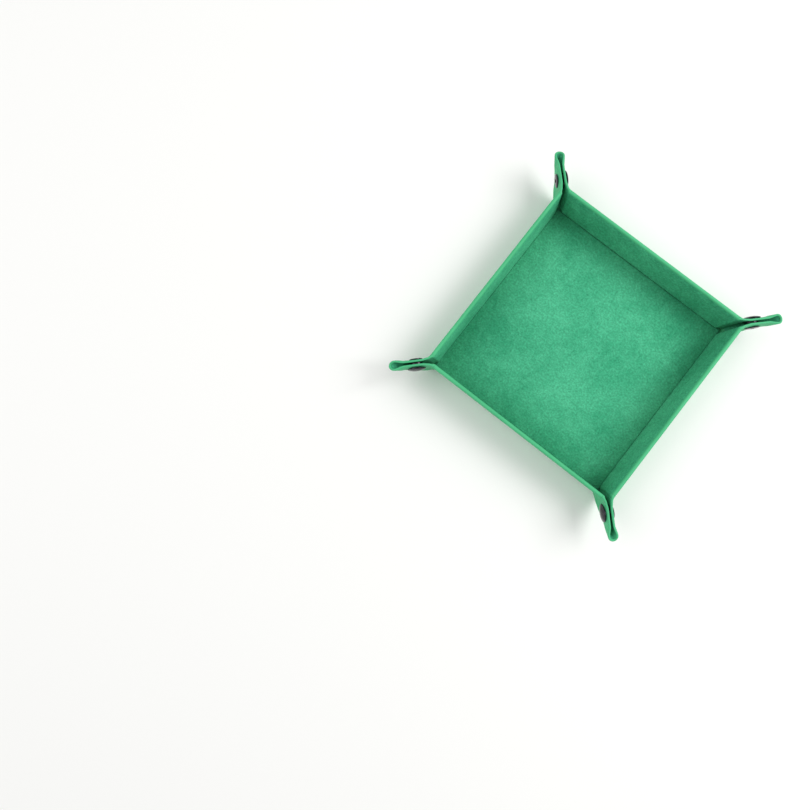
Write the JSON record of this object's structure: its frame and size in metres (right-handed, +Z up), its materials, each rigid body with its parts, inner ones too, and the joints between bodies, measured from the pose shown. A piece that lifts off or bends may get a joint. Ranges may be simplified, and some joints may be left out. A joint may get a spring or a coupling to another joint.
{
  "type": "folding dice tray",
  "caption": "Square folding dice tray with hinged walls, velvet lining, leatherette outside and press-stud corner ears; the walls unsnap and lie flat.",
  "frame": {"origin": "centre of the base on its underside, where the tray rests", "axes": "+Z up out of the tray, +X along the front wall's crease to the right, +Y towards the back wall"},
  "size_m": [0.1992, 0.1992, 0.0314],
  "materials": {
    "leather": "smooth coated leatherette, satin",
    "velvet": "short-pile velvet, matt",
    "board": "dense grey-brown fibre board, hidden",
    "dark_metal": "gunmetal plating, glossy"
  },
  "bodies": {
    "base": {"base_board": "board", "leather_base": "leather", "velvet_base": "velvet"},
    "front_wall": {"wall_board_front": "board", "leather_wall_front": "leather", "velvet_wall_front": "velvet"},
    "ear_front_left": {"leather_ear_front_left": "leather", "velvet_ear_front_left": "velvet", "snap_cap_front_left": "dark_metal", "snap_socket_front_left": "dark_metal"},
    "ear_front_right": {"leather_ear_front_right": "leather", "velvet_ear_front_right": "velvet", "snap_cap_front_right": "dark_metal", "snap_socket_front_right": "dark_metal"},
    "right_wall": {"wall_board_right": "board", "leather_wall_right": "leather", "velvet_wall_right": "velvet"},
    "ear_right_front": {"leather_ear_right_front": "leather", "velvet_ear_right_front": "velvet", "snap_post_right_front": "dark_metal", "snap_stud_right_front": "dark_metal"},
    "ear_right_back": {"leather_ear_right_back": "leather", "velvet_ear_right_back": "velvet", "snap_post_right_back": "dark_metal", "snap_stud_right_back": "dark_metal"},
    "back_wall": {"wall_board_back": "board", "leather_wall_back": "leather", "velvet_wall_back": "velvet"},
    "ear_back_right": {"leather_ear_back_right": "leather", "velvet_ear_back_right": "velvet", "snap_cap_back_right": "dark_metal", "snap_socket_back_right": "dark_metal"},
    "ear_back_left": {"leather_ear_back_left": "leather", "velvet_ear_back_left": "velvet", "snap_cap_back_left": "dark_metal", "snap_socket_back_left": "dark_metal"},
    "left_wall": {"wall_board_left": "board", "leather_wall_left": "leather", "velvet_wall_left": "velvet"},
    "ear_left_back": {"leather_ear_left_back": "leather", "velvet_ear_left_back": "velvet", "snap_post_left_back": "dark_metal", "snap_stud_left_back": "dark_metal"},
    "ear_left_front": {"leather_ear_left_front": "leather", "velvet_ear_left_front": "velvet", "snap_post_left_front": "dark_metal", "snap_stud_left_front": "dark_metal"}
  },
  "joints": [
    {"name": "front_wall_fold", "type": "hinge", "parent": "base", "child": "front_wall", "pos_m": [0, -0.077, 0.00035], "axis": [1, 0, 0], "range_deg": [0, 75.5]},
    {"name": "ear_front_left_fold", "type": "hinge", "parent": "front_wall", "child": "ear_front_left", "pos_m": [-0.07325, -0.077, 0.00035], "axis": [0.121, 0.121, -0.9853], "range_deg": [0, 41.33]},
    {"name": "ear_front_right_fold", "type": "hinge", "parent": "front_wall", "child": "ear_front_right", "pos_m": [0.07325, -0.077, 0.00035], "axis": [0.121, -0.121, 0.9853], "range_deg": [0, 41.33]},
    {"name": "right_wall_fold", "type": "hinge", "parent": "base", "child": "right_wall", "pos_m": [0.077, 0, 0.00035], "axis": [0, 1, 0], "range_deg": [0, 75.5]},
    {"name": "ear_right_front_fold", "type": "hinge", "parent": "right_wall", "child": "ear_right_front", "pos_m": [0.077, -0.07325, 0.00035], "axis": [-0.121, 0.121, -0.9853], "range_deg": [0, 41.33]},
    {"name": "ear_right_back_fold", "type": "hinge", "parent": "right_wall", "child": "ear_right_back", "pos_m": [0.077, 0.07325, 0.00035], "axis": [0.121, 0.121, 0.9853], "range_deg": [0, 41.33]},
    {"name": "back_wall_fold", "type": "hinge", "parent": "base", "child": "back_wall", "pos_m": [0, 0.077, 0.00035], "axis": [-1, 0, 0], "range_deg": [0, 75.5]},
    {"name": "ear_back_right_fold", "type": "hinge", "parent": "back_wall", "child": "ear_back_right", "pos_m": [0.07325, 0.077, 0.00035], "axis": [-0.121, -0.121, -0.9853], "range_deg": [0, 41.33]},
    {"name": "ear_back_left_fold", "type": "hinge", "parent": "back_wall", "child": "ear_back_left", "pos_m": [-0.07325, 0.077, 0.00035], "axis": [-0.121, 0.121, 0.9853], "range_deg": [0, 41.33]},
    {"name": "left_wall_fold", "type": "hinge", "parent": "base", "child": "left_wall", "pos_m": [-0.077, 0, 0.00035], "axis": [0, -1, 0], "range_deg": [0, 75.5]},
    {"name": "ear_left_back_fold", "type": "hinge", "parent": "left_wall", "child": "ear_left_back", "pos_m": [-0.077, 0.07325, 0.00035], "axis": [0.121, -0.121, -0.9853], "range_deg": [0, 41.33]},
    {"name": "ear_left_front_fold", "type": "hinge", "parent": "left_wall", "child": "ear_left_front", "pos_m": [-0.077, -0.07325, 0.00035], "axis": [-0.121, -0.121, 0.9853], "range_deg": [0, 41.33]}
  ],
  "couplings": [
    {"joint": "ear_front_left_fold", "follows": "front_wall_fold", "ratio": 0.5473},
    {"joint": "ear_front_right_fold", "follows": "front_wall_fold", "ratio": 0.5473},
    {"joint": "right_wall_fold", "follows": "front_wall_fold", "ratio": 1},
    {"joint": "ear_right_front_fold", "follows": "front_wall_fold", "ratio": 0.5473},
    {"joint": "ear_right_back_fold", "follows": "front_wall_fold", "ratio": 0.5473},
    {"joint": "back_wall_fold", "follows": "front_wall_fold", "ratio": 1},
    {"joint": "ear_back_right_fold", "follows": "front_wall_fold", "ratio": 0.5473},
    {"joint": "ear_back_left_fold", "follows": "front_wall_fold", "ratio": 0.5473},
    {"joint": "left_wall_fold", "follows": "front_wall_fold", "ratio": 1},
    {"joint": "ear_left_back_fold", "follows": "front_wall_fold", "ratio": 0.5473},
    {"joint": "ear_left_front_fold", "follows": "front_wall_fold", "ratio": 0.5473}
  ]
}
